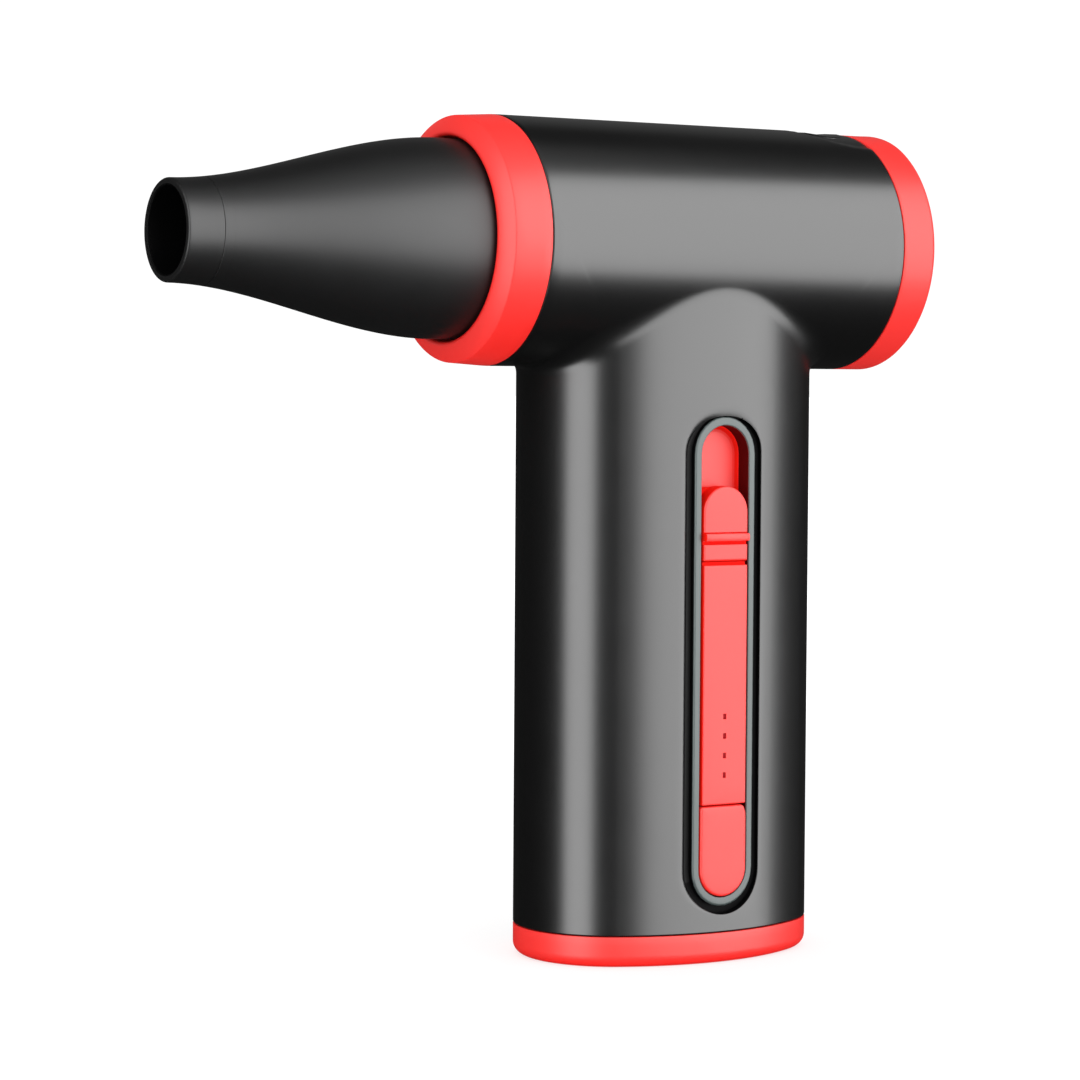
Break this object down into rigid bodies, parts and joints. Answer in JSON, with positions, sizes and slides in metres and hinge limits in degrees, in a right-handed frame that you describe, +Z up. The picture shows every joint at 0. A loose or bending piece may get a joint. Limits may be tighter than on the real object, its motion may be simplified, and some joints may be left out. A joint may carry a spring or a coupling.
{
  "type": "car dryer blower",
  "caption": "Pistol-shaped cordless air blower with a tapered push-in nozzle, ducted fan barrel, battery handle and a side control strip.",
  "frame": {"origin": "centre of the flat foot under the handle", "axes": "+Z up through the handle, -X the way the air leaves the nozzle, -Y the side with the control strip"},
  "size_m": [0.1794, 0.054, 0.184],
  "materials": {
    "housing": "satin black moulding",
    "red_shell": "satin coral red moulding",
    "nozzle_black": "satin black moulding",
    "rubber_black": "matt moulded rubber",
    "duct_grey": "satin dark grey moulding",
    "rim_metal": "satin gunmetal anodised",
    "fan_alloy": "fine machined",
    "steel": "bright steel",
    "motor_steel": "dark lacquered steel",
    "magnet": "nickel plated",
    "lamination": "stacked laminations",
    "copper": "enamelled copper wire",
    "board_green": "green solder mask on glass fibre laminate",
    "component_black": "moulded epoxy",
    "light_clear": "tinted clear light guide",
    "led_white": "small clear epoxy",
    "capacitor_sleeve": "shrink sleeve on aluminium",
    "cell_sleeve": "shrink sleeve on steel",
    "paper_white": "fish paper",
    "nickel": "nickel strip",
    "foam": "closed cell foam",
    "wire_red": "silicone wire insulation",
    "wire_black": "silicone wire insulation",
    "cable_grey": "flat ribbon cable",
    "mesh_metal": "woven wire",
    "flex_amber": "polyimide flexible board"
  },
  "bodies": {
    "body": {"main_housing": "housing", "base_cap": "red_shell", "base_screws": "steel", "front_ring": "red_shell", "rear_ring": "red_shell", "intake_grille": "nozzle_black", "filter_mesh": "mesh_metal", "filter_frame": "duct_grey", "fan_duct": "duct_grey", "duct_damper": "rubber_black", "stator_vanes": "duct_grey", "stator_core": "lamination", "stator_windings": "copper", "front_bearing": "steel", "rear_bearing": "steel", "tail_cone": "duct_grey", "strip_rim": "rim_metal", "strip_tray": "red_shell", "strip_plate": "red_shell", "slider_pot": "component_black", "light_guides": "light_clear", "flap_hinge_pin": "steel", "usb_socket": "steel", "usb_tongue": "component_black", "control_board": "board_green", "leds": "led_white", "driver_board": "board_green", "driver_mosfets": "component_black", "driver_capacitor": "capacitor_sleeve", "heat_sink": "fan_alloy", "battery_cells": "cell_sleeve", "cell_rings": "paper_white", "battery_cradle": "duct_grey", "nickel_strips": "nickel", "cradle_pads": "foam", "battery_leads": "wire_red", "signal_cable": "cable_grey", "motor_leads": "wire_black", "button_spring": "steel", "tact_switch": "steel", "switch_board": "flex_amber"},
    "nozzle_piece": {"nozzle": "nozzle_black", "nozzle_seal": "rubber_black", "nozzle_band": "nozzle_black"},
    "rotor": {"impeller": "fan_alloy", "impeller_spinner": "fan_alloy", "motor_shaft": "steel", "motor_bell": "motor_steel", "rotor_magnets": "magnet"},
    "slider": {"speed_slider": "red_shell", "pot_lever": "steel"},
    "flap": {"port_flap": "red_shell"},
    "button": {"power_button": "nozzle_black"}
  },
  "joints": [
    {"name": "nozzle_pull", "type": "slide", "parent": "body", "child": "nozzle_piece", "axis": [-1, 0, 0], "range_m": [0, 0.03]},
    {"name": "fan_spin", "type": "hinge", "parent": "body", "child": "rotor", "pos_m": [0, 0, 0.157], "axis": [-1, 0, 0], "continuous": true},
    {"name": "speed_slide", "type": "slide", "parent": "body", "child": "slider", "axis": [0, 0, 1], "range_m": [0, 0.01]},
    {"name": "flap_hinge", "type": "hinge", "parent": "body", "child": "flap", "pos_m": [0, -0.0229, 0.0329], "axis": [-1, 0, 0], "range_deg": [0, 95]},
    {"name": "button_press", "type": "slide", "parent": "body", "child": "button", "axis": [0, 0, -1], "range_m": [0, 0.0005], "stiffness_N_per_m": 1200, "springref_m": -0.0004, "deforming": ["button_spring"]}
  ]
}
